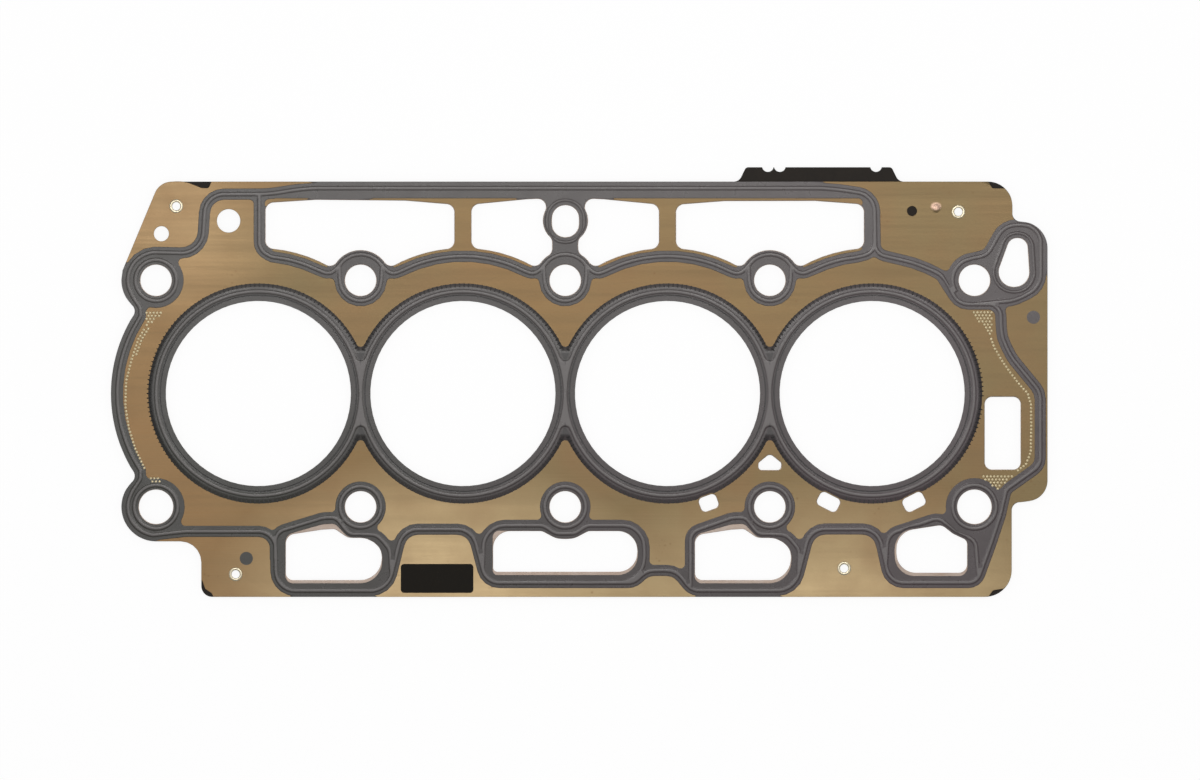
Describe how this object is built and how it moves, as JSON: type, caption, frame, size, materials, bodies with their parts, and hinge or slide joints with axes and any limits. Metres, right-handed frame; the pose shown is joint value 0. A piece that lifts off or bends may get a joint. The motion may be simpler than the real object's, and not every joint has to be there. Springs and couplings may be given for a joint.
{
  "type": "cylinder head gasket",
  "caption": "Multi-layer steel cylinder head gasket for an inline engine, with beaded and part-coated sheets, oil and water ports, head bolt holes, a notched code tab and eyelets.",
  "frame": {"origin": "middle of the head bolt rectangle, on the underside, where the crests of the lower beads rest", "axes": "+X along the row of cylinders towards the end with the side window, +Y towards the edge with the code tab, +Z out of the printed upper face"},
  "size_m": [0.3845, 0.1764, 0.0016],
  "materials": {
    "lacquered_steel": "thin transparent gold-brown lacquer on cold-rolled spring steel, satin",
    "grey_rubber": "printed grey elastomer, matt, slightly shiny on the bead crests",
    "black_print": "matt black printed field, left bare",
    "black_coated_steel": "black rubber coating over steel sheet, matt",
    "plain_steel": "cold-rolled steel sheet, bare, fine rolling grain",
    "eyelet_steel": "bright zinc-plated sheet, rolled over"
  },
  "bodies": {
    "root": {"top_layer": "lacquered_steel", "top_coating": "grey_rubber", "coat_dot_left": "grey_rubber", "coat_dot_right": "grey_rubber", "label_print": "black_print", "black_layer": "black_coated_steel", "spacer_layer": "plain_steel", "bottom_layer": "lacquered_steel", "bottom_coating": "grey_rubber", "eyelet_top_left": "eyelet_steel", "eyelet_top_right": "eyelet_steel", "eyelet_bottom_left": "eyelet_steel", "eyelet_bottom_right": "eyelet_steel"}
  },
  "joints": []
}
